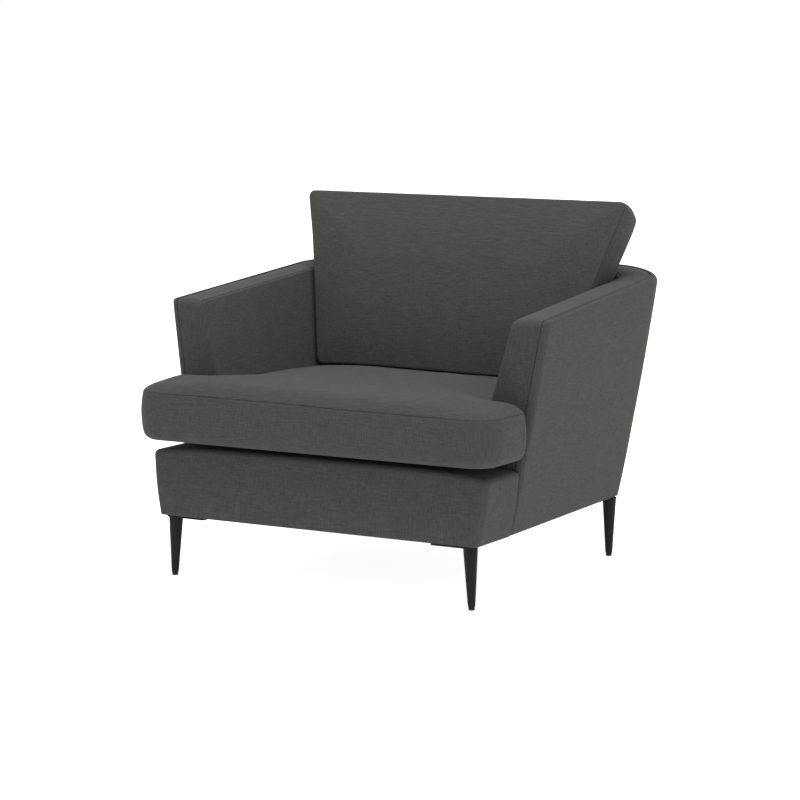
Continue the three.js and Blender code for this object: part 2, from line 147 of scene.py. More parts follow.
def mesh_object(name, points, faces, smooth_faces=True):
    mesh = bpy.data.meshes.new(name)
    mesh.from_pydata([tuple(map(float, p)) for p in points], [], faces)
    mesh.validate()
    mesh.update()
    mesh.polygons.foreach_set("use_smooth", [smooth_faces] * len(mesh.polygons))
    made = bpy.data.objects.new(name, mesh)
    bpy.context.scene.collection.objects.link(made)
    return made


def orient(piece, merge=0.0):
    """Turns every face outwards, once points that are less than merge apart are joined."""
    bm = bmesh.new()
    bm.from_mesh(piece.data)
    if merge:
        bmesh.ops.remove_doubles(bm, verts=bm.verts, dist=merge)
    bmesh.ops.recalc_face_normals(bm, faces=bm.faces)
    bm.to_mesh(piece.data)
    bm.free()
    return piece


def between_rings(rings):
    """Faces that join each closed ring of points to the next one."""
    at = np.arange(len(rings) * len(rings[0])).reshape(len(rings), -1)
    after = np.roll(at, -1, axis=1)
    return np.dstack([at[:-1], after[:-1], after[1:], at[1:]]).reshape(-1, 4).tolist()


def stacked(rings):
    """Points and faces of a solid stacked from closed rings of the same number of points."""
    count = len(rings[0])
    last = (len(rings) - 1) * count
    ends = [tuple(reversed(range(count))), tuple(last + k for k in range(count))]
    return np.vstack(rings), ends + between_rings(rings)


def set_painted_seam_shade(piece, values):
    """Stores how near each point is to a seam, for the cloth to take painted shade there, standing in for the
    seam groove's shadow.
    """
    piece.data.attributes.new("seam", "FLOAT", "POINT").data.foreach_set("value", values.astype(np.float32))


def closed_grid(name, front, back, seam):
    """A closed solid between two grids of points of the same shape, with the front grid's seam shares for
    painted seam shade; the hidden back grid gets the full painted shade.
    """
    rows, cols = front.shape[:2]
    count = rows * cols
    at = np.arange(count).reshape(rows, cols)
    quads = np.dstack([at[:-1, :-1], at[1:, :-1], at[1:, 1:], at[:-1, 1:]]).reshape(-1, 4)
    rim = np.concatenate([at[:, 0], at[-1, 1:], at[-2::-1, -1], at[0, -2:0:-1]])
    after = np.roll(rim, -1)
    sides = np.column_stack([rim, after, after + count, rim + count])
    faces = np.vstack([quads, quads[:, ::-1] + count, sides]).tolist()
    piece = mesh_object(name, np.vstack([front.reshape(-1, 3), back.reshape(-1, 3)]), faces)
    set_painted_seam_shade(piece, np.concatenate([seam.ravel(), np.ones(count)]))
    orient(piece)
    piece.data.set_sharp_from_angle(angle=RIM_ANGLE)
    return piece


def rolled_edge(radius):
    """Cloth that rolls over an edge, from its seam to the open face: places, dips and arcs."""
    angles = np.linspace(-CURL, math.pi / 2, 9)
    return radius * (1 - np.cos(angles)), radius * (1 - np.sin(angles)), radius * (angles + CURL)


def graded(length, roll_start, roll_end, step=STEP):
    """Places along a panel as shares of its length, how far each dips where an edge rolls over, and its
    distance along the cloth from the nearer rim."""
    middle = np.linspace(roll_start, length - roll_end, max(3, int(length / step)))
    start, end = rolled_edge(roll_start), rolled_edge(roll_end)
    places = np.concatenate([start[0][:-1], middle, length - end[0][::-1][1:]])
    dips = np.concatenate([start[1][:-1], 0 * middle, end[1][::-1][1:]])
    flat = np.minimum(middle - roll_start + start[2][-1], length - roll_end - middle + end[2][-1])
    arcs = np.concatenate([start[2][:-1], flat, end[2][::-1][1:]])
    return places / length, dips, arcs


def ripple(points, size, depth, seed, shift=(2.3, 5.1, 0.7)):
    """Gentle hollows and waves in cloth over foam, of a size along each axis: a number for each point."""
    offset = Vector([seed * v for v in shift])
    values = [noise.noise(Vector(p / size) + offset) for p in points.reshape(-1, 3)]
    return depth * np.array(values).reshape(points.shape[:-1])


def mirrored(points):
    return points * np.array([-1, 1, 1])


def both_halves(rows):
    """Rows of points along the right half, and then on along the left half."""
    return np.vstack([rows, mirrored(rows)[::-1][1:]])


def panel(base, normals, across, along, thickness, puff, seed, shade=1.0):
    """Cloth over foam on a base grid, its edges rolled: across and along are (dips, arcs) of the two
    ways. Gives the front and back grids and the shares of painted seam shade that closed_grid takes."""
    dips_u, arcs_u = (np.reshape(a, (len(base), 1)) for a in across)
    dips_v, arcs_v = (np.reshape(a, (-1, base.shape[1])) for a in along)
    deepest = max(dips_u.max(), dips_v.max(), 1e-6)
    dip = deepest * (1 - (1 - dips_u / deepest) * (1 - dips_v / deepest))
    arc = np.minimum(arcs_u, arcs_v)
    lift = (puff + ripple(base, HOLLOW_SIZE, HOLLOW_DEPTH, seed, (3.7, 1.3, 7.1))) * smooth(arc / 0.02)
    front = base + normals * (lift - dip)[..., None]
    back = base - normals * thickness
    # the seam shares, scaled into the shell's painted seam shade
    return front, back, np.clip(1 - arc / SEAM_SHADE_WIDTH, 0, 1) * shade * SHELL_SEAM_SHADE


def finish_piece(piece, nodes, material, fill=None, body="chair_body"):
    piece.data.materials.clear()
    piece.data.materials.append(material)
    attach(piece, body)
    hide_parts(*nodes)


def both(*names):
    return [f"{name}_{side}" for name in names for side in ("left", "right")]


# ---- Materials ----

def new_material(name, colour, roughness, metallic=0.0):
    material = bpy.data.materials.new(name)
    material.use_nodes = True
    shader = material.node_tree.nodes["Principled BSDF"]
    shader.inputs["Base Color"].default_value = (*colour, 1)
    shader.inputs["Roughness"].default_value = roughness
    shader.inputs["Metallic"].default_value = metallic
    return material, material.node_tree, shader


def object_noise(tree, scale, detail):
    """Noise in the piece's own metres, stretched by scale along each axis."""
    place = tree.nodes.new("ShaderNodeTexCoord")
    stretch = tree.nodes.new("ShaderNodeMapping")
    stretch.inputs["Scale"].default_value = scale
    grain = tree.nodes.new("ShaderNodeTexNoise")
    grain.inputs["Scale"].default_value = 1.0
    grain.inputs["Detail"].default_value = detail
    tree.links.new(place.outputs["Object"], stretch.inputs["Vector"])
    tree.links.new(stretch.outputs["Vector"], grain.inputs["Vector"])
    return grain.outputs["Fac"]


def math_node(tree, operation, a, b):
    node = tree.nodes.new("ShaderNodeMath")
    node.operation = operation
    for k, value in enumerate((a, b)):
        if isinstance(value, (int, float)):
            node.inputs[k].default_value = value
        else:
            tree.links.new(value, node.inputs[k])
    return node.outputs[0]


def ramp_node(tree, factor, stops):
    """A ramp between two stops, each a (place, colour)."""
    node = tree.nodes.new("ShaderNodeValToRGB")
    for element, (place, colour) in zip(node.color_ramp.elements, stops):
        element.position = place
        element.color = (*colour, 1)
    tree.links.new(factor, node.inputs["Fac"])
    return node.outputs["Color"]


def bump_node(tree, shader, height, distance, strength):
    node = tree.nodes.new("ShaderNodeBump")
    node.inputs["Distance"].default_value = distance
    node.inputs["Strength"].default_value = strength
    tree.links.new(height, node.inputs["Height"])
    tree.links.new(node.outputs["Normal"], shader.inputs["Normal"])


YARNS = ((1.0, 0.31), (2.1, 0.18))  # each yarn's width in threads, and its weight in the weave
FLECK = 14  # how many widths long a yarn's flecks are
PATCH_SCALE = (22, 22, 22)
PATCH_WEIGHT = 0.07  # soft patches, against the weave
SEAM_SHADE_TONE = 0.52  # how dark the painted shade makes the cloth at a seam


def woven_cloth(name, dark, light, thread=0.0014, seam_shaded=True):
    """A plain weave of flecked yarn, two widths of it along each axis, with soft patches and painted shade in
    the seams.
    """
    material, tree, shader = new_material(name, light, 0.92)
    shader.inputs["Sheen Weight"].default_value = 0.03
    shader.inputs["Sheen Roughness"].default_value = 0.45
    shader.inputs["Specular IOR Level"].default_value = 0.15
    facing = tree.nodes.new("ShaderNodeSeparateXYZ")
    place = tree.nodes.new("ShaderNodeTexCoord")
    tree.links.new(place.outputs["Normal"], facing.inputs["Vector"])
    weave = None
    for axis in range(3):
        square = math_node(tree, "MULTIPLY", facing.outputs[axis], facing.outputs[axis])
        share = math_node(tree, "SUBTRACT", 1.0, square)
        for threads, weight in YARNS:
            width = thread * threads
            scale = [1 / width] * 3
            scale[axis] = 1 / (width * FLECK)
            grain = object_noise(tree, scale, 1.5)
            yarn = math_node(tree, "MULTIPLY", math_node(tree, "MULTIPLY", grain, share), weight)
            weave = yarn if weave is None else math_node(tree, "ADD", weave, yarn)
    patches = math_node(tree, "MULTIPLY", object_noise(tree, PATCH_SCALE, 3.0), PATCH_WEIGHT)
    tone = math_node(tree, "ADD", math_node(tree, "MULTIPLY", weave, 1 - PATCH_WEIGHT), patches)
    colour = ramp_node(tree, tone, [(0.33, dark), (0.67, light)])
    # painted shade in the seam grooves, read from the seam attribute
    if seam_shaded:
        seam_shade_node = tree.nodes.new("ShaderNodeAttribute")
        seam_shade_node.attribute_name = "seam"
        darken = ramp_node(tree, seam_shade_node.outputs["Fac"], [(0.1, (1, 1, 1)), (0.9, (SEAM_SHADE_TONE,) * 3)])
        blend = tree.nodes.new("ShaderNodeMix")
        blend.data_type = "RGBA"
        blend.blend_type = "MULTIPLY"
        blend.inputs["Factor"].default_value = 1.0
        tree.links.new(colour, blend.inputs[6])
        tree.links.new(darken, blend.inputs[7])
        colour = blend.outputs[2]
    tree.links.new(colour, shader.inputs["Base Color"])
    bump_node(tree, shader, weave, distance=0.0011, strength=0.55)
    return material


def plain_material(name, dark, light, roughness, scale, metallic=0.0, distance=0.0002, specular=0.5):
    """Grain between a dark and a light tone, with matching roughness and a shallow bump."""
    material, tree, shader = new_material(name, light, roughness, metallic)
    shader.inputs["Specular IOR Level"].default_value = specular
    grain = object_noise(tree, scale, 4.0)
    tree.links.new(ramp_node(tree, grain, [(0.3, dark), (0.7, light)]), shader.inputs["Base Color"])
    rough = math_node(tree, "ADD", math_node(tree, "MULTIPLY", grain, 0.16), roughness - 0.08)
    tree.links.new(rough, shader.inputs["Roughness"])
    bump_node(tree, shader, grain, distance, strength=0.4)
    return material


CLOTH = woven_cloth("charcoal_weave", (0.025, 0.025, 0.0235), (0.056, 0.056, 0.0528))
LINING = woven_cloth("black_lining", (0.012, 0.012, 0.0125), (0.026, 0.026, 0.027), 0.0008, seam_shaded=False)
WEBBING = woven_cloth("elastic_webbing", (0.03, 0.03, 0.03), (0.07, 0.07, 0.07), 0.002, seam_shaded=False)
WOOD = plain_material("planed_hardwood", (0.33, 0.2, 0.1), (0.52, 0.36, 0.2), 0.6, (9, 60, 160))
SPRING = plain_material("drawn_wire", (0.25, 0.26, 0.27), (0.42, 0.43, 0.44), 0.35, (300, 300, 300), 1.0)
METAL = plain_material(
    "black_powder_coat", (0.0045, 0.0045, 0.0055), (0.007, 0.007, 0.0085), 0.55, (900, 900, 900),
    distance=0.00008, specular=0.12,
)
PLASTIC = plain_material(
    "black_glide", (0.009, 0.009, 0.009), (0.015, 0.015, 0.015), 0.5, (700, 700, 700), distance=0.00005
)


# ---- The shell's panels ----

EDGE_FRONT = 0.0120  # roll of the outer panel round the arm's front edge
EDGE_ARM = 0.0055  # roll of the outer panel along the arm's top
EDGE_REAR = 0.0125  # and round the back
EDGE_INNER = 0.0055  # roll of the inner panels into the band
EDGE_SEAM = 0.0024  # roll of two panels into the seam between them
EDGE_UNDER = 0.005  # roll of every panel at its lower edge
OUTER_THICKNESS, INNER_THICKNESS, BAND_THICKNESS = 0.017, 0.03, 0.014
OUTER_FILL, INNER_FILL = 0.9, 0.85
BAND_ROLL = 0.0006
BAND_CROWN = 0.0035
FRONT_REACH = 0.90  # down the arm's front the band laps a little over the outer panel
FRONT_STATIONS = 34  # stations of the band up the arm's front, and round the nose above it
NOSE_STATIONS = 6
TOP_STATIONS = (44, 26, 30)  # and along the arm, round the corner, and to the middle of the back
SPREAD = 1 + math.sin(CURL)  # a roll reaches this many radii in from the face


def round_corner(base, ways, lengths, radius):
    """Rounds the corner of a base grid at u = 0, v = 1 to the given radius."""
    along_u, along_v = ways
    a, b = lengths
    p = np.clip((radius - a) / radius, 0, 1)
    q = np.clip((radius - b) / radius, 0, 1)
    inside = (p > 0) & (q > 0)
    shift_a = np.where(inside, radius * (p - p * np.sqrt(1 - q * q / 2)), 0)
    shift_b = np.where(inside, radius * (q - q * np.sqrt(1 - p * p / 2)), 0)
    return base + along_u * shift_a[..., None] - along_v * shift_b[..., None]


def outer_roll(s):
    """The outer panel turns over the shell's upper edge in a roll that grows towards the back."""
    return mix(EDGE_ARM, EDGE_REAR, float(smooth((s - 0.15) / 1.0)))


def inner_roll(s):
    """The inner panel's roll is the same all the way along."""
    return EDGE_INNER


def wall_grid(point, s_places, h_table, side):
    """Places on a wall and the way it faces there. side is 1 for its outer face and -1 for its inner."""
    small = 0.002
    base, along, rise = [], [], []
    for s, h_places in zip(s_places, h_table):
        before, after = max(s - small, 0), min(s + small, 3)
        base.append([point(s, h) for h in h_places])
        along.append([point(after, h) - point(before, h) for h in h_places])
        rise.append([point(s, h + small) - point(s, h - small) for h in h_places])
    along, rise = unit(np.array(along)), unit(np.array(rise))
    return np.array(base), unit(np.cross(along, rise)) * side, (along, rise)


def columns(point, s_places, roll):
    """The places up a wall at each place along it, with their dips and arcs."""
    height = float(np.linalg.norm(point(0.5, 1) - point(0.5, 0)))
    made = [graded(height, EDGE_UNDER, roll(s)) for s in s_places]
    return height, *(np.array([m[k] for m in made]) for k in range(3))


def wall_panel(point, edge_front, roll, side, thickness, puff, seed):
    """The arm's side and the rear corner in one panel."""
    fine = np.linspace(0, 2, 200)
    track = np.array([point(s, 0.5) for s in fine])
    run = np.concatenate([[0], np.cumsum(np.linalg.norm(np.diff(track, axis=0), axis=1))])
    shares, dips_u, arcs_u = graded(run[-1], edge_front, EDGE_SEAM)
    s_places = np.interp(shares * run[-1], run, fine)
    height, h_table, dips_v, arcs_v = columns(point, s_places, roll)
    base, normals, ways = wall_grid(point, s_places, h_table, side)
    from_front = np.abs(shares * run[-1])[:, None] + 0 * h_table
    base = round_corner(base, ways, (from_front, (1 - h_table) * height), NOSE)
    bow = puff * np.sin(np.pi * np.clip(h_table, 0, 1)) ** 0.7
    # painted seam shade: weak down the arm's front, full from 1.5 to 3.5 cm behind it
    shade = mix(FRONT_SEAM_SHADE, 1, smooth((from_front - 0.015) / 0.02))
    return panel(base, normals, (dips_u, arcs_u), (dips_v, arcs_v), thickness, bow, seed, shade)


def back_panel(point, roll, side, thickness, puff, seed):
    """The flat panel between the two corners, from right to left."""
    width = 2 * float(point(2, 0.5)[0])
    shares, dips_u, arcs_u = graded(width, EDGE_SEAM, EDGE_SEAM)
    halves = 2 + 2 * np.minimum(shares, 1 - shares)
    _, h_table, dips_v, arcs_v = columns(point, halves, roll)
    base, normals, _ = wall_grid(point, halves, h_table, side)
    flip = (shares > 0.5)[:, None, None]
    base = np.where(flip, mirrored(base), base)
    normals = np.where(flip, mirrored(normals), normals)
    bow = puff * np.sin(np.pi * np.clip(shares, 0, 1))[:, None] * np.sin(np.pi * np.clip(h_table, 0, 1))
    return panel(base, normals, (dips_u, arcs_u), (dips_v, arcs_v), thickness, bow, seed)


def arm_pieces():
    """The covers of both arms and their rear corners, and of the back between them."""
    outer = wall_panel(outer_point, EDGE_FRONT, outer_roll, 1, OUTER_THICKNESS, 0.004, 2)
    inner = wall_panel(inner_point, EDGE_INNER, inner_roll, -1, INNER_THICKNESS, 0.005, 3)
    for side in ("left", "right"):
        for face, made, fill in (("outer", outer, OUTER_FILL), ("inner", inner, INNER_FILL)):
            front, back, seam = made
            if side == "left":
                front, back = mirrored(front), mirrored(back)
            nodes = [f"arm_{face}_pad_{side}", f"corner_{face}_pad_{side}"]
            finish_piece(closed_grid(f"{face}_cover_{side}", front, back, seam), nodes, CLOTH, fill)
    rear = back_panel(outer_point, outer_roll, 1, OUTER_THICKNESS, 0.006, 4)
    finish_piece(closed_grid("outer_cover_back", *rear), ["back_outer_pad"], CLOTH, OUTER_FILL)
    inside = back_panel(inner_point, inner_roll, -1, INNER_THICKNESS, 0.006, 5)
    finish_piece(closed_grid("inner_cover_back", *inside), ["back_inner_pad"], CLOTH, INNER_FILL)


def band_station(s, outer_h, inner_h, seam_out, seam_in, reach=SPREAD):
    """The band's two seams at one place along the wall, drawn in from its outer and inner edge."""
    outer_edge, inner_edge = outer_point(s, outer_h), inner_point(s, inner_h)
    way = unit(outer_edge - inner_edge)
    return outer_edge - way * seam_out * reach, inner_edge + way * seam_in * SPREAD


def band_path():
    """Seam to seam across the band, from the foot of the arm's front, over its top, to the middle of
    the back."""
    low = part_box("arm_front_pad_right")[0].z
    front = []
    for z in np.linspace(low, ARM_Z - NOSE, FRONT_STATIONS):
        outer_h = (z - BODY_Z) / (ARM_Z - BODY_Z)
        inner_h = (z - DECK_Z) / (ARM_Z - DECK_Z)
        front.append(band_station(0, outer_h, inner_h, EDGE_FRONT, EDGE_INNER, FRONT_REACH))
    side_run = OUTER_HIGH["rear_y"] - OUTER_HIGH["radius"] - arm_front_y(ARM_Z)
    on_arm, on_corner, on_back = TOP_STATIONS
    places = np.linspace(NOSE / side_run, 1, on_arm)
    places = np.concatenate([places, np.linspace(1, 2, on_corner)[1:], np.linspace(2, 3, on_back)[1:]])
    top = [band_station(s, 1, 1, outer_roll(s), inner_roll(s)) for s in places]
    nose = []
    for angle in np.linspace(0, math.pi / 2, NOSE_STATIONS + 2)[1:-1]:
        up, on = math.sin(angle), math.cos(angle)
        pair = []
        for below, above in zip(front[-1], top[0]):
            y = above[1] - NOSE * on + (below[1] + NOSE - above[1]) * (1 - up)
            pair.append(np.array([mix(below[0], above[0], up), y, mix(below[2], above[2], up)]))
        nose.append(tuple(pair))
    return front + nose + top


def shell_band():
    path = band_path()
    on_front = FRONT_STATIONS + NOSE_STATIONS
    outer_seam, inner_seam = path[on_front + 20]  # about halfway along the arm
    width = float(np.linalg.norm(outer_seam - inner_seam))
    shares, dips_v, arcs_v = graded(width, BAND_ROLL, BAND_ROLL, 0.007)
    base = both_halves(np.array([[mix(a, b, w) for w in shares] for a, b in path]))
    crown = BAND_CROWN * np.sin(np.pi * np.clip(shares, 0, 1))[None, :] * np.ones((len(base), 1))
    across = both_halves(np.array([b - a for a, b in path]))
    forward = np.gradient(base[:, len(shares) // 2], axis=0)
    facing = unit(np.cross(forward, across))
    facing = np.repeat(facing[:, None], len(shares), axis=1)
    open_ends = (np.zeros(len(base)), np.ones(len(base)))
    # painted seam shade, weaker along the band up the arm's front and round the nose
    shade = np.ones(len(path))
    shade[:on_front] = FRONT_SEAM_SHADE
    shade = np.append(shade, shade[::-1][1:])[:, None]
    made = panel(base, facing, open_ends, (dips_v, arcs_v), BAND_THICKNESS, crown, 6, shade)
    nodes = both("arm_top_pad", "corner_top_pad", "arm_front_pad") + ["back_top_pad"]
    finish_piece(closed_grid("shell_band", *made), nodes, CLOTH, OUTER_FILL)


# ---- The front rail ----

RAIL_HALF, RAIL_FRONT_Y, RAIL_REAR_Y = 0.425, -0.431, -0.2705  # at the underside
RAIL_FLARE, RAIL_LEAN = 0.162, 0.075  # for each unit of height
RAIL_SIDE_Z, RAIL_MIDDLE_Z = 0.292, 0.311  # the top's ends and middle
RAIL_TOP_HALF = 0.448
RAIL_CORNER = 0.015
RAIL_ARC = 9  # points round each corner of the outline
RAIL_SIDES = (86, 16, 86, 16)  # steps along the rear, left, front and right of the outline
RAIL_EDGE = 0.012  # roll of the cloth over the top's edge
RAIL_UNDER = 0.003  # and at the lower edge
RAIL_BOW = 0.0025
RAIL_MIDDLE = 0.0795  # how far in the top's last ring lies, close to its centre line
NOTCH_Y = -0.315  # behind here, between the two ends, the underside steps up
NOTCH_HALF = 0.408
NOTCH_DEPTH = 0.006


def rail_outline(inset):
    """Plan of the rail at its underside, drawn in by inset, as points all round it."""
    half, front, rear = RAIL_HALF - inset, RAIL_FRONT_Y + inset, RAIL_REAR_Y - inset
    corners = [
        (half, rear, 0.004, 0), (-half, rear, 0.004, 90),
        (-half, front, RAIL_CORNER, 180), (half, front, RAIL_CORNER, 270),
    ]
    points = []
    for x, y, radius, turn in corners:
        radius = max(radius - inset, 0.0005)
        cx = x - math.copysign(radius, x)
        cy = y - radius if y == rear else y + radius
        for angle in np.radians(np.linspace(turn, turn + 90, RAIL_ARC)):
            points.append((cx + radius * math.cos(angle), cy + radius * math.sin(angle)))
    loop = []
    for k, (x, y) in enumerate(points):
        nx, ny = points[(k + 1) % len(points)]
        corner, place = divmod(k, RAIL_ARC)
        steps = RAIL_SIDES[corner] if place == RAIL_ARC - 1 else 1
        loop += [(mix(x, nx, j / steps), mix(y, ny, j / steps)) for j in range(steps)]
    return np.array(loop)


def front_rail():
    def crown(x):
        return mix(RAIL_SIDE_Z, RAIL_MIDDLE_Z, 1 - np.abs(np.clip(x / RAIL_TOP_HALF, -1, 1)) ** 6)

    def ring(inset, share, rise=RAIL_UNDER, drop=RAIL_EDGE):
        """The outline from rise over the underside, at share 0, to drop under the crown, at share 1."""
        plan = rail_outline(inset)
        z = mix(BODY_Z + rise, crown(plan[:, 0]) - drop, share)
        height = z - BODY_Z
        x = plan[:, 0] * (1 + RAIL_FLARE * height / RAIL_HALF)
        forward = (RAIL_REAR_Y - plan[:, 1]) / (RAIL_REAR_Y - RAIL_FRONT_Y)
        y = plan[:, 1] + RAIL_LEAN * height * forward
        notch = smooth((plan[:, 1] - NOTCH_Y) / 0.02) * (np.abs(plan[:, 0]) < NOTCH_HALF)
        return np.column_stack([x, y, z + NOTCH_DEPTH * notch * (height < NOTCH_DEPTH)])

    rings = [ring(0.024, 0, rise=0.004), ring(0.023, 0, rise=0.0003)]
    for angle in np.radians([90, 60, 30, 0]):
        rings.append(ring(RAIL_UNDER * (1 - math.cos(angle)), 0, rise=RAIL_UNDER * (1 - math.sin(angle))))
    for share in np.linspace(0, 1, 15)[1:]:
        rings.append(ring(-RAIL_BOW * math.sin(math.pi * share), share))
    for angle in np.radians([15, 30, 45, 60, 75, 90]):
        rings.append(ring(RAIL_EDGE * (1 - math.cos(angle)), 1, drop=RAIL_EDGE * (1 - math.sin(angle))))
    for inset in np.linspace(RAIL_EDGE, RAIL_MIDDLE, 9)[1:]:
        rings.append(ring(inset, 1, drop=0))
    piece = orient(mesh_object("front_rail_cover", *stacked(rings)), merge=0.0002)
    nodes = ["rail_front_pad", "rail_top_pad"] + both("rail_end_pad")
    finish_piece(piece, nodes, CLOTH, OUTER_FILL)


# ---- Cushions ----

def rounded_polygon(corners, per_arc=10, spacing=0.010):
    """Points round a plan polygon of (x, y, radius) corners, in order, with the outward way at each."""
    points = []
    for k in range(len(corners)):
        before, here, after = (np.array(corners[(k + turn) % len(corners)][:2]) for turn in (-1, 0, 1))
        to_before, to_after = unit(before - here), unit(after - here)
        half = math.acos(float(np.clip(np.dot(to_before, to_after), -1, 1))) / 2
        reach = corners[k][2] / math.tan(half)
        a, b = here + to_before * reach, here + to_after * reach
        for t in np.linspace(0, 1, per_arc):
            w = math.sin(half)
            weights = np.array([(1 - t) ** 2, 2 * t * (1 - t) * w, t * t])
            points.append((weights[0] * a + weights[1] * here + weights[2] * b) / weights.sum())
    dense = []
    for k, p in enumerate(points):
        q = points[(k + 1) % len(points)]
        parts = max(1, round(float(np.linalg.norm(q - p)) / spacing))
        dense += [mix(p, q, j / parts) for j in range(parts)]
    dense = np.array(dense)
    tangent = unit(np.roll(dense, -1, axis=0) - np.roll(dense, 1, axis=0))
    return dense, np.column_stack([tangent[:, 1], -tangent[:, 0]])


def symmetric_outline(right, **spacing):
    """A rounded outline from the (x, y, radius) corners of its right half."""
    return rounded_polygon(right + [(-x, y, r) for x, y, r in reversed(right)], **spacing)


def outline_distance(points, outline):
    """How far each point lies inside a closed outline."""
    best = np.full(len(points), 1e9)
    for p, q in zip(outline, np.roll(outline, -1, axis=0)):
        e = q - p
        t = np.clip(((points - p) @ e) / max(float(e @ e), 1e-12), 0, 1)
        best = np.minimum(best, np.linalg.norm(points - (p + t[:, None] * e), axis=1))
    return best


def inside_outline(points, outline):
    inside = np.zeros(len(points), bool)
    for p, q in zip(outline, np.roll(outline, -1, axis=0)):
        crosses = (p[1] > points[:, 1]) != (q[1] > points[:, 1])
        rise = q[1] - p[1] if abs(q[1] - p[1]) > 1e-12 else 1e-12
        inside ^= crosses & (points[:, 0] < p[0] + (points[:, 1] - p[1]) / rise * (q[0] - p[0]))
    return inside


TRIANGLE_HEIGHT = 0.866  # of an equal-sided triangle, in sides


def filled(outline, spacing):
    """Fills an outline with triangles: the points added inside it, and the triangles over the outline's
    points and the added ones."""
    low, high = outline.min(axis=0), outline.max(axis=0)
    rows = np.arange(low[1], high[1], spacing * TRIANGLE_HEIGHT)
    inner = []
    for k, y in enumerate(rows):
        shift = spacing / 2 if k % 2 else 0
        inner += [(x, y) for x in np.arange(low[0] + shift, high[0], spacing)]
    inner = np.array(inner)
    inner = inner[inside_outline(inner, outline)]
    inner = inner[outline_distance(inner, outline) > spacing * 0.6]
    every = np.vstack([outline, inner])
    count = len(outline)
    edges = [(k, (k + 1) % count) for k in range(count)]
    _, _, triangles, origins, _, _ = delaunay_2d_cdt([Vector(p) for p in every], edges, [], 1, 1e-7)
    faces = [tuple(origins[v][0] for v in triangle) for triangle in triangles]
    return inner, faces


SEAM_REACH = 0.0055  # cloth turns in over this distance from a seam, by this depth
SEAM_DEPTH = 0.0034
# How far in from the seam the rows of points lie: on a band, a cushion's top and a plain panel.
SEAM_ROWS = np.array([0.0004, 0.0011, 0.0020, 0.0032, 0.0046, 0.0062])
TOP_ROWS = np.append(SEAM_ROWS, [0.0085, 0.0115, 0.0150, 0.0190, 0.0235])
PANEL_ROWS = np.append(SEAM_ROWS, [0.0090, 0.0135])


def seam_dip(distance):
    """How far cloth turns in as it reaches a seam: a quarter of a circle."""
    near = np.clip(1 - np.abs(distance) / SEAM_REACH, 0, 1)
    return SEAM_DEPTH * (1 - np.sqrt(1 - near * near))


# The painted seam shade: full at a seam, gone SEAM_SHADE_WIDTH in from it.
def seam_shade(distance):
    return float(np.clip(1 - distance / SEAM_SHADE_WIDTH, 0, 1))


def cushion(name, outline, ways, front, band, rear, spacing, shade, rear_seam_shaded=True):
    """A boxed cushion: two panels, each filled from the outline, and the band between them.

    front and rear are (place, rows). place takes plan points, their distances from the edge and the
    ways out there, and gives the points' places; rows are the distances of the panel's rings. band
    gives rings with their shares of painted seam shade. spacing is that of the points inside the panels."""
    (front_at, front_rows), (rear_at, rear_rows) = front, rear
    count = len(outline)
    rings, shares = [], []
    for d in front_rows[::-1]:
        rings.append(front_at(outline - ways * d, np.full(count, d), ways))
        shares.append(seam_shade(d))
    for ring, share in band:
        rings.append(ring)
        shares.append(share)
    for d in rear_rows:
        rings.append(rear_at(outline - ways * d, np.full(count, d), ways))
        shares.append(seam_shade(d) * rear_seam_shaded)
    points, seams = [np.vstack(rings)], [np.repeat(shares, count)]
    faces = between_rings(rings)
    total = len(rings) * count
    for place, rows, first in ((front_at, front_rows, 0), (rear_at, rear_rows, total - count)):
        inner, triangles = filled(outline - ways * rows[-1], spacing)
        points.append(place(inner, outline_distance(inner, outline), 0 * inner))
        seams.append(np.zeros(len(inner)))
        for face in triangles:
            faces.append(tuple(first + v if v < count else total + v - count for v in face))
        total += len(inner)
    piece = mesh_object(name, np.vstack(points), faces)
    set_painted_seam_shade(piece, np.concatenate(seams) * shade)
    return orient(piece)


def spline(places, values, at):
    """A smooth curve through values at places."""
    places, values = np.array(places, float), np.array(values, float)
    slopes = np.gradient(values, places)
    k = np.clip(np.searchsorted(places, at) - 1, 0, len(places) - 2)
    h = places[k + 1] - places[k]
    t = (at - places[k]) / h
    a, b = values[k], values[k + 1]
    m, n = slopes[k] * h, slopes[k + 1] * h
    from_a = a * (1 + 2 * t) * (1 - t) ** 2 + m * t * (1 - t) ** 2
    return from_a + b * t * t * (3 - 2 * t) - n * t * t * (1 - t)


SEAT_LOW, SEAT_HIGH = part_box("seat_cushion")
SEAT_SEAM_Z = 0.438
SEAT_CROWN = 0.035
SEAT_TILT = 0.0035  # the seam lies this much lower at the right end, and higher at the left
SEAT_EAR = 0.472  # half the width of the part in front of the arms
SEAT_EAR_REAR = -0.2745
SEAT_SIDE = 0.3625  # half the width between the arms, at the seam
SEAT_BULGE = ((0, 0.030, 0.060, 0.088), (0.0, 0.0045, 0.0050, 0.0025))  # drops from the seam, reach out
UNDER_ROUND = 0.024  # rounding of the lower edge
UNDER_START = -0.0015
ARM_FLARE = (INNER_HIGH["front_x"] - INNER_LOW["front_x"]) / (ARM_Z - DECK_Z)


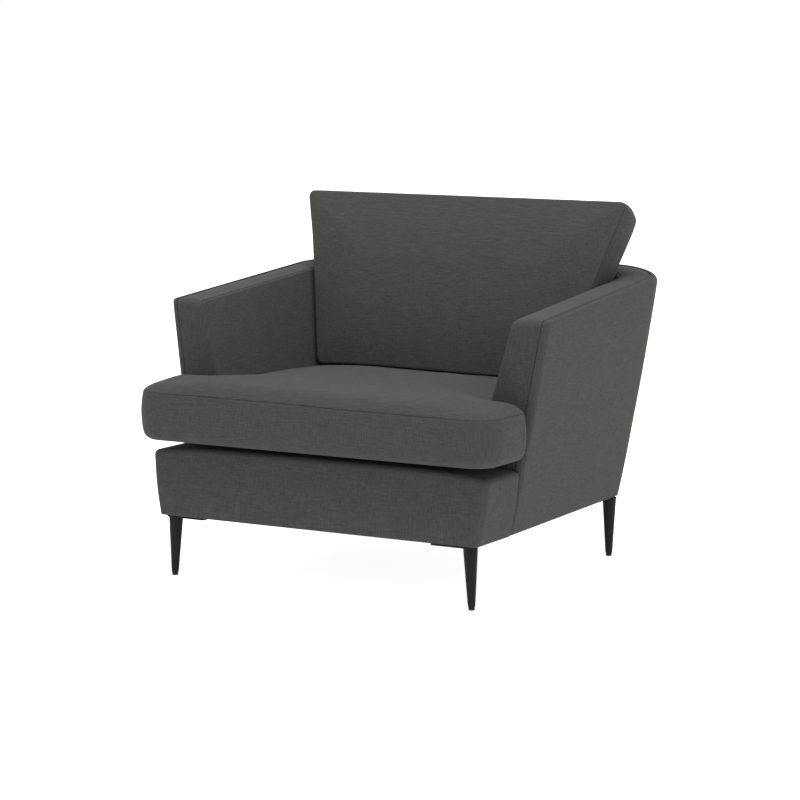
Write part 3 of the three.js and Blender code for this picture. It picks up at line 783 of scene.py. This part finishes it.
def seat_cushion():
    def side(y):
        return SEAT_SIDE - INNER_LOW["taper"] * (y - ARM_FOOT_Y)

    front, rear = SEAT_LOW.y + 0.005, SEAT_HIGH.y
    right = [
        (SEAT_EAR, front, 0.066), (SEAT_EAR, SEAT_EAR_REAR, 0.028),
        (side(SEAT_EAR_REAR) + 0.004, SEAT_EAR_REAR, 0.008), (side(rear), rear, 0.035),
    ]
    outline, ways = symmetric_outline(right)

    def narrowed(points):
        """Drawn in below the seam where the arms' faces slope inwards."""
        between = smooth((points[:, 1] - SEAT_EAR_REAR) / 0.03)
        points[:, 0] -= np.sign(points[:, 0]) * ARM_FLARE * (SEAT_SEAM_Z - points[:, 2]) * between
        return points

    def seam_z(plan):
        wave = ripple(np.column_stack([plan, plan[:, 0] * 0]), (0.15, 0.15, 1), 0.002, 3)
        return SEAT_SEAM_Z - SEAT_TILT * plan[:, 0] / SEAT_EAR + wave

    def top(plan, d, outward):
        """The crown: full in the middle, lower beside the arms, under the back cushion and at the
        two front corners."""
        between_arms = smooth((plan[:, 1] + 0.36) / 0.16)
        under_back = smooth((plan[:, 1] + 0.04) / 0.15)
        half = mix(SEAT_EAR, side(plan[:, 1]), between_arms)
        from_side = np.clip((half - np.abs(plan[:, 0])) / 0.25, 0, 1)
        share = mix(1.0, 1 - (1 - from_side) ** 2, 0.75 * between_arms) * mix(1.0, 0.30, under_back)
        end = np.clip(1 - (SEAT_EAR - np.abs(plan[:, 0])) / 0.16, 0, 1)
        share *= 1 - 0.7 * (end * np.clip(1 - (plan[:, 1] - front) / 0.16, 0, 1)) ** 0.8
        shoulder = 1 - (1 - np.clip(d / 0.052, 0, 1)) ** 3
        dome = 1 - (1 - np.clip(d / 0.15, 0, 1)) ** 2
        z = seam_z(plan) + SEAT_CROWN * mix(shoulder, dome, 0.28) * share
        wave = ripple(np.column_stack([plan, z]), (0.20, 0.16, 0.3), 0.0022, 5)
        z += wave * np.clip(d / 0.1, 0, 1) - seam_dip(d) * 0.3
        return np.column_stack([plan - outward * (seam_dip(d) * 0.85)[:, None], z])

    def band():
        drops = [0.0] + list(SEAM_ROWS) + [0.012, 0.021, 0.031, 0.042, 0.053, 0.064, 0.074, 0.082]
        height = SEAT_SEAM_Z - SEAT_LOW.z
        for drop in drops:
            out = spline(*SEAT_BULGE, np.array([drop]))[0]
            plan = outline + ways * (out - float(seam_dip(drop)) * 0.8)
            z = SEAT_LOW.z + (seam_z(plan) - SEAT_LOW.z) * (1 - drop / height)
            ring = np.column_stack([plan, z])
            crease = ripple(ring, (0.045, 0.045, 0.22), 0.0016, 8) * min(1.0, drop / 0.02)
            ring[:, :2] += ways * (crease * min(1.0, (0.086 - drop) / 0.03))[:, None]
            yield narrowed(ring), seam_shade(drop)

    def under(plan, d, outward):
        across = np.clip(1 - (d - UNDER_START) / UNDER_ROUND, 0, 1)
        rise = UNDER_ROUND * (1 - np.sqrt(1 - across * across))
        return narrowed(np.column_stack([plan, SEAT_LOW.z + rise]))

    under_rows = UNDER_START + UNDER_ROUND * (1 - np.cos(np.radians([4, 14, 26, 38, 50, 62, 72])))
    # the seat's seams take the painted seam shade at 0.65 strength, and its underside none
    piece = cushion(
        "seat_cushion_cover", outline, ways, (top, TOP_ROWS), band(), (under, under_rows),
        spacing=0.010, shade=0.65, rear_seam_shaded=False,
    )
    finish_piece(piece, ["seat_cushion"], CLOTH, 0.85, "seat_cushion")


BACK_BOTTOM = 0.4545
BACK_LOWEST = 0.4522  # the lowest point of the bottom edge, before it settles on the seat
BACK_FRONT_Y = 0.1395
BACK_LEAN = math.radians(18.6)
BACK_DEPTH = 0.098
# Height, half width and rounding of the front panel's outline, from its lower edge up.
BACK_HALVES = [
    (BACK_BOTTOM, 0.337, 0.022), (0.53, 0.356, 0.30), (0.67, 0.390, 0.30), (0.76, 0.4135, 0.30),
    (0.8695, 0.4470, 0.014),
]
BACK_BAND = [0.013, 0.024, 0.036]  # rings of the band past its seam rows, up to its middle


def seat_top():
    """Heights of the seat cushion's top from left to right, where the back cushion stands."""
    seat = bpy.data.objects["seat_cushion_cover"].data
    points = np.empty(len(seat.vertices) * 3)
    seat.vertices.foreach_get("co", points)
    points = points.reshape(-1, 3)
    points = points[(points[:, 1] > 0.14) & (points[:, 1] < 0.22) & (points[:, 2] > 0.43)]
    places = np.linspace(-0.32, 0.32, 9)
    heights = [points[np.abs(points[:, 0] - x) < 0.04][:, 2].max() for x in places]
    return places, np.array(heights)


def back_cushion():
    outline, ways = symmetric_outline([(x, z, radius) for z, x, radius in BACK_HALVES], per_arc=8)
    lean = np.array([0, math.cos(BACK_LEAN), -math.sin(BACK_LEAN)])
    seat_x, seat_z = seat_top()

    def placed(plan, run):
        """Plan points, set back by run through the cushion's thickness, where it narrows a little. The
        lower edge rests on the seat cushion."""
        share = run / BACK_DEPTH
        y = BACK_FRONT_Y + math.tan(BACK_LEAN) * (plan[:, 1] - BACK_BOTTOM)
        free = smooth((plan[:, 1] - BACK_BOTTOM) / 0.30)
        narrow = 1 - share * mix(0.030, 0.014, smooth((plan[:, 1] - 0.66) / 0.12))
        ear = smooth((np.abs(plan[:, 0]) - 0.385) / 0.055) * smooth((plan[:, 1] - 0.815) / 0.045)
        x = plan[:, 0] * narrow - np.sign(plan[:, 0]) * 0.007 * ear * share
        z = plan[:, 1] - 0.010 * ear * share
        rests = np.interp(plan[:, 0], seat_x, seat_z) + 0.0004 - BACK_LOWEST
        z += rests * (1 - smooth((plan[:, 1] - BACK_BOTTOM) / 0.08))
        return np.column_stack([x, y + run * lean[1], z + run * lean[2] * free])

    def front_panel(plan, d, outward):
        reach = np.clip(d / 0.19, 0, 1)
        puff = 0.021 * (1 - (1 - reach) ** 2)
        base = placed(plan, 0.0)
        puff += ripple(base, (0.16, 0.2, 0.22), 0.0025, 11) * reach
        return base - lean * (puff - seam_dip(d) * 0.75)[:, None]

    def rear_panel(plan, d, outward):
        reach = np.clip(d / 0.16, 0, 1)
        puff = 0.034 * (1 - (1 - reach) ** 2)
        base = placed(plan, BACK_DEPTH)
        return base + lean * (puff - seam_dip(d) * 0.75)[:, None]

    def band():
        """The band between the panels. Above the arm it folds out over it, mainly at the right."""
        depth = BACK_DEPTH
        near = list(SEAM_ROWS) + BACK_BAND
        runs = [0.0] + near + [depth / 2] + [depth - r for r in reversed(near)] + [depth]
        at_side = (outline[:, 0] > 0.3) + 0.25 * (outline[:, 0] < -0.3)
        at_bottom = 1 - smooth((outline[:, 1] - BACK_BOTTOM) / 0.03)
        for run in runs:
            off = min(run, depth - run)
            bulge = math.sin(math.pi * run / depth)
            full = 1 - abs(2 * run / depth - 1) ** 4
            rearward = float(smooth((run / depth - 0.4) / 0.5))
            height = outline[:, 1] + 0.8 * run * lean[2]
            fade = 1 - smooth((height - 0.69) / mix(0.09, 0.03, rearward))
            over_arm = smooth((height - 0.60) / 0.085) * fade * at_side
            out = 0.006 * bulge * (1 - 0.75 * at_bottom) + 0.0095 * over_arm * full
            out = out - float(seam_dip(off)) * 0.8
            ring = placed(outline + ways * out[:, None], run)
            crease = ripple(ring, (0.05, 0.2, 0.03), 0.0018, 14) * min(1.0, off / 0.02)
            crease *= (1 + over_arm) * (1 - 0.8 * at_bottom)
            ring[:, 0] += ways[:, 0] * crease
            ring[:, 2] += ways[:, 1] * crease
            yield ring, seam_shade(off)

    piece = cushion(
        "back_cushion_cover", outline, ways, (front_panel, PANEL_ROWS), band(), (rear_panel, SEAM_ROWS),
        spacing=0.010, shade=1.0,
    )
    finish_piece(piece, ["back_cushion"], CLOTH, 0.85, "back_cushion")


# ---- Legs, plates, glides ----

def revolved(name, low, high, profile, around=40):
    """A closed turned form between two points. The profile gives (height, radius) from the lower one."""
    low, high = np.array(low), np.array(high)
    length = float(np.linalg.norm(high - low))
    turn = np.linspace(0, 2 * math.pi, around, endpoint=False)
    circle = np.column_stack([np.cos(turn), np.sin(turn), 0 * turn])
    rings = [mix(low, high, height / length) + radius * circle for height, radius in profile]
    return orient(mesh_object(name, *stacked(rings)))


CORNERS = ("front_left", "front_right", "rear_left", "rear_right")
LEG_FOOT_RADIUS = 0.0084
LEG_TOP_RADIUS = 0.0166
LEG_COLLAR = 0.004  # the straight stretch under the plate


def legs():
    for name in CORNERS:
        low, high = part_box(f"leg_{name}")
        side = math.copysign(1, low.x)
        glide_low, glide_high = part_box(f"foot_glide_{name}")
        foot = ((glide_low + glide_high) / 2)[:2]
        top = (side * FRONT_LEG_TOP[0], FRONT_LEG_TOP[1]) if "front" in name else foot
        length = PLATE_Z - low.z
        profile = [(0.0, 0.0055), (0.0006, 0.0068), (0.0018, 0.0078), (0.004, LEG_FOOT_RADIUS)]
        for share in np.linspace(0.04, 1, 15):
            height = mix(0, length - LEG_COLLAR, share)
            profile.append((height, mix(LEG_FOOT_RADIUS, LEG_TOP_RADIUS, share)))
        profile += [(length - 0.0010, LEG_TOP_RADIUS), (length - 0.0003, LEG_TOP_RADIUS - 0.0004)]
        profile.append((length, LEG_TOP_RADIUS - 0.0012))
        leg = revolved(f"leg_tapered_{name}", (*foot, low.z), (*top, PLATE_Z), profile)
        finish_piece(leg, [f"leg_{name}"], METAL)
        tall = glide_high.z - glide_low.z
        rounds = [(0.0, 0.0058), (0.0006, 0.0070), (0.0016, 0.0076), (tall - 0.0008, 0.0078), (tall, 0.0070)]
        glide = revolved(f"glide_turned_{name}", (*foot, glide_low.z), (*foot, glide_high.z), rounds, 32)
        finish_piece(glide, [f"foot_glide_{name}"], PLASTIC)


# Rings of a screw head: sides, radius, and drop below the plate. The last two are its recess.
HEAD_RINGS = (
    (24, 0.0047, -0.0003), (24, 0.0047, 0.0007), (24, 0.0040, 0.0015), (24, 0.0028, 0.0020),
    (6, 0.0021, 0.0020), (6, 0.0020, 0.0009),
)
SCREWS = ((0.012, 0.010), (0.012, -0.010), (0.050, 0.0))  # from the plate's inboard end, off its middle


def screw_head(x, y, z):
    """A domed pan head under a plate at height z, with a hexagonal recess."""
    rings = []
    for sides, radius, drop in HEAD_RINGS:
        half = math.pi / sides
        angle = np.linspace(0, 2 * math.pi, 24, endpoint=False)
        reach = radius * math.cos(half) / np.cos(angle % (2 * half) - half)
        level = np.full(len(angle), z - drop)
        rings.append(np.column_stack([x + reach * np.cos(angle), y + reach * np.sin(angle), level]))
    return stacked(rings)


def plates():
    """Each plate with its three screws, its outboard end rounded to the leg."""
    for name in CORNERS:
        low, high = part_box(f"leg_plate_{name}")
        leg_low, leg_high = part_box(f"leg_{name}")
        side = math.copysign(1, low.x)
        axis = side * FRONT_LEG_TOP[0] if "front" in name else (leg_low.x + leg_high.x) / 2
        outboard = axis + side * LEG_TOP_RADIUS
        inboard = low.x if low.x > 0 else high.x
        ends = [(inboard, low.y, 0.006), (outboard, low.y, 0.014)]
        ends += [(x, high.y, radius) for x, _, radius in reversed(ends)]
        outline, ways = rounded_polygon(ends if side > 0 else ends[::-1], per_arc=7, spacing=0.02)
        top = BODY_Z - 0.0020
        levels = [
            (low.z, 0.0012), (low.z + 0.0004, 0.0005), (low.z + 0.0012, 0.0),
            (top - 0.0005, 0.0), (top, 0.0005),
        ]
        rings = [np.column_stack([outline - ways * inset, np.full(len(outline), z)]) for z, inset in levels]
        points, faces = stacked(rings)
        middle = (low.y + high.y) / 2
        for along, across in SCREWS:
            more, more_faces = screw_head(inboard + side * along, middle + across, low.z)
            faces += [tuple(k + len(points) for k in face) for face in more_faces]
            points = np.vstack([points, more])
        plate = orient(mesh_object(f"plate_pressed_{name}", points, faces, False))
        finish_piece(plate, [f"leg_plate_{name}"], METAL)


# ---- Underside and deck ----

DECK_TUCK = 0.010  # the deck's cloth runs on under the arms and the back
DECK_TAPER = INNER_LOW["taper"] * (INNER_LOW["rear_y"] - ARM_FOOT_Y)
DECK_CORNER = 0.045


def deck():
    low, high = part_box("seat_deck")
    side, rear = high.x + DECK_TUCK, high.y + DECK_TUCK
    right = [(side, low.y + 0.002, 0.02), (side - DECK_TAPER, rear, DECK_CORNER)]
    outline, ways = symmetric_outline(right)

    def top(plan, d, outward):
        reach = np.clip(d / 0.05, 0, 1)
        z = high.z - 0.008 + 0.0075 * (1 - (1 - reach) ** 2)
        return np.column_stack([plan, z - seam_dip(d)])

    def band():
        for drop in (0.0, 0.002, 0.005, 0.010, 0.018, 0.022):
            yield np.column_stack([outline + ways * 0.001, np.full(len(outline), high.z - 0.009 - drop)]), 0.0

    def under(plan, d, outward):
        return np.column_stack([plan, np.full(len(plan), low.z + 0.001)])

    piece = cushion(
        "seat_deck_cover", outline, ways, (top, PANEL_ROWS), band(), (under, [0.006, 0.012]),
        spacing=0.020, shade=0.0, rear_seam_shaded=False,
    )
    finish_piece(piece, ["seat_deck"], LINING, 0.9)


COVER_INSET = 0.011  # from the front rail's face to the dust cover's edge
COVER_SIDE_INSET = COVER_INSET * 0.7
COVER_THICKNESS = 0.0007


def dust_cover():
    """The lining stapled over the turned-under cloth, a little in from the body's lower edge."""
    rear = [plan_point(OUTER_LOW, place, ARM_FOOT_Y) for place in (0.03, 0.5, 1.0, 1.33, 1.66, 2.0)]
    right = [(RAIL_HALF - COVER_SIDE_INSET, RAIL_FRONT_Y + COVER_INSET, 0.012)]
    for k, (x, y) in enumerate(rear):
        round_rear = k > 2
        right.append((x - COVER_SIDE_INSET, y - COVER_SIDE_INSET * round_rear, 0.012))
    outline, _ = symmetric_outline(right, per_arc=3, spacing=0.02)
    inner, faces = filled(outline, 0.02)
    plan = np.vstack([outline, inner])
    d = outline_distance(plan, outline)
    sag = 0.0010 * smooth(d / 0.2) + ripple(np.column_stack([plan, d * 0]), (0.09, 0.09, 1), 0.0003, 21)
    z = BODY_Z - 0.0009
    lower = np.column_stack([plan, z - sag])
    upper = lower + np.array([0, 0, COVER_THICKNESS])
    count = len(plan)
    rim = [(k, (k + 1) % len(outline)) for k in range(len(outline))]
    every = [f[::-1] for f in faces] + [tuple(v + count for v in f) for f in faces]
    every += [(a, b, b + count, a + count) for a, b in rim]
    piece = orient(mesh_object("dust_cover_cloth", np.vstack([lower, upper]), every))
    finish_piece(piece, ["dust_cover"], LINING)
    nxt = np.roll(outline, -1, axis=0)


# ---- Frame timbers, springs and webbing ----

def dress_frame():
    kinds = {"spring": SPRING, "webbing": WEBBING, "rail": WOOD, "block": WOOD, "post": WOOD}
    for name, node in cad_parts.items():
        for word, material in kinds.items():
            if word in name and "pad" not in name:
                node.data.materials.clear()
                node.data.materials.append(material)


# ---- Floor, light and camera ----

FLOOR_GLOW = 0.85  # keeps the floor as pale as a studio backdrop
SKY_STRENGTH = 1.02
# Name, place, size and power of each soft light; all of them face AIM.
LIGHTS = (
    ("overhead", (0.3, -0.5, 4.2), (2.4, 2.4), 146),
    ("right_side", (4.5, -0.8, 1.3), (1.6, 1.0), 18),
)
AIM = Vector((0, 0, 0.4))
LENS, SENSOR = 129.8, 36
AZIMUTH, ELEVATION = math.radians(29.97), math.radians(7.95)
DISTANCE = 6.885
TARGET = Vector((0, -0.031, 0.400))


def place_facing(thing, place, way):
    """Puts a light or camera in the scene, its -Z along way."""
    thing.location = place
    thing.rotation_mode = "QUATERNION"
    thing.rotation_quaternion = way.to_track_quat("-Z", "Y")
    bpy.context.scene.collection.objects.link(thing)


def studio():
    bpy.ops.mesh.primitive_plane_add(size=40, location=(0, 0, -0.0002))
    floor = bpy.context.object
    floor.name = "floor"
    paint, _, shader = new_material("pale_floor", (0.7, 0.7, 0.7), 0.85)
    shader.inputs["Emission Color"].default_value = (1, 1, 1, 1)
    shader.inputs["Emission Strength"].default_value = FLOOR_GLOW
    shader.inputs["Specular IOR Level"].default_value = 0.2
    floor.data.materials.append(paint)

    scene = bpy.context.scene
    world = bpy.data.worlds.new("studio")
    scene.world = world
    world.use_nodes = True
    sky = world.node_tree.nodes["Background"]
    sky.inputs["Color"].default_value = (1, 1, 1, 1)
    sky.inputs["Strength"].default_value = SKY_STRENGTH

    for name, place, size, power in LIGHTS:
        light = bpy.data.lights.new(name, "AREA")
        light.shape = "RECTANGLE"
        light.size, light.size_y = size
        light.energy = power
        place_facing(bpy.data.objects.new(name, light), place, AIM - Vector(place))

    scene.view_settings.view_transform = "Standard"
    scene.view_settings.look = "None"

    camera = bpy.data.cameras.new("camera")
    camera.lens = LENS
    camera.sensor_width = SENSOR
    eye = bpy.data.objects.new("camera", camera)
    level = math.cos(ELEVATION)
    way = Vector((math.sin(AZIMUTH) * level, -math.cos(AZIMUTH) * level, math.sin(ELEVATION)))
    place_facing(eye, TARGET + way * DISTANCE, -way)
    scene.camera = eye


studio()
front_rail()
arm_pieces()
shell_band()
seat_cushion()
back_cushion()
legs()
plates()
deck()
dust_cover()
dress_frame()
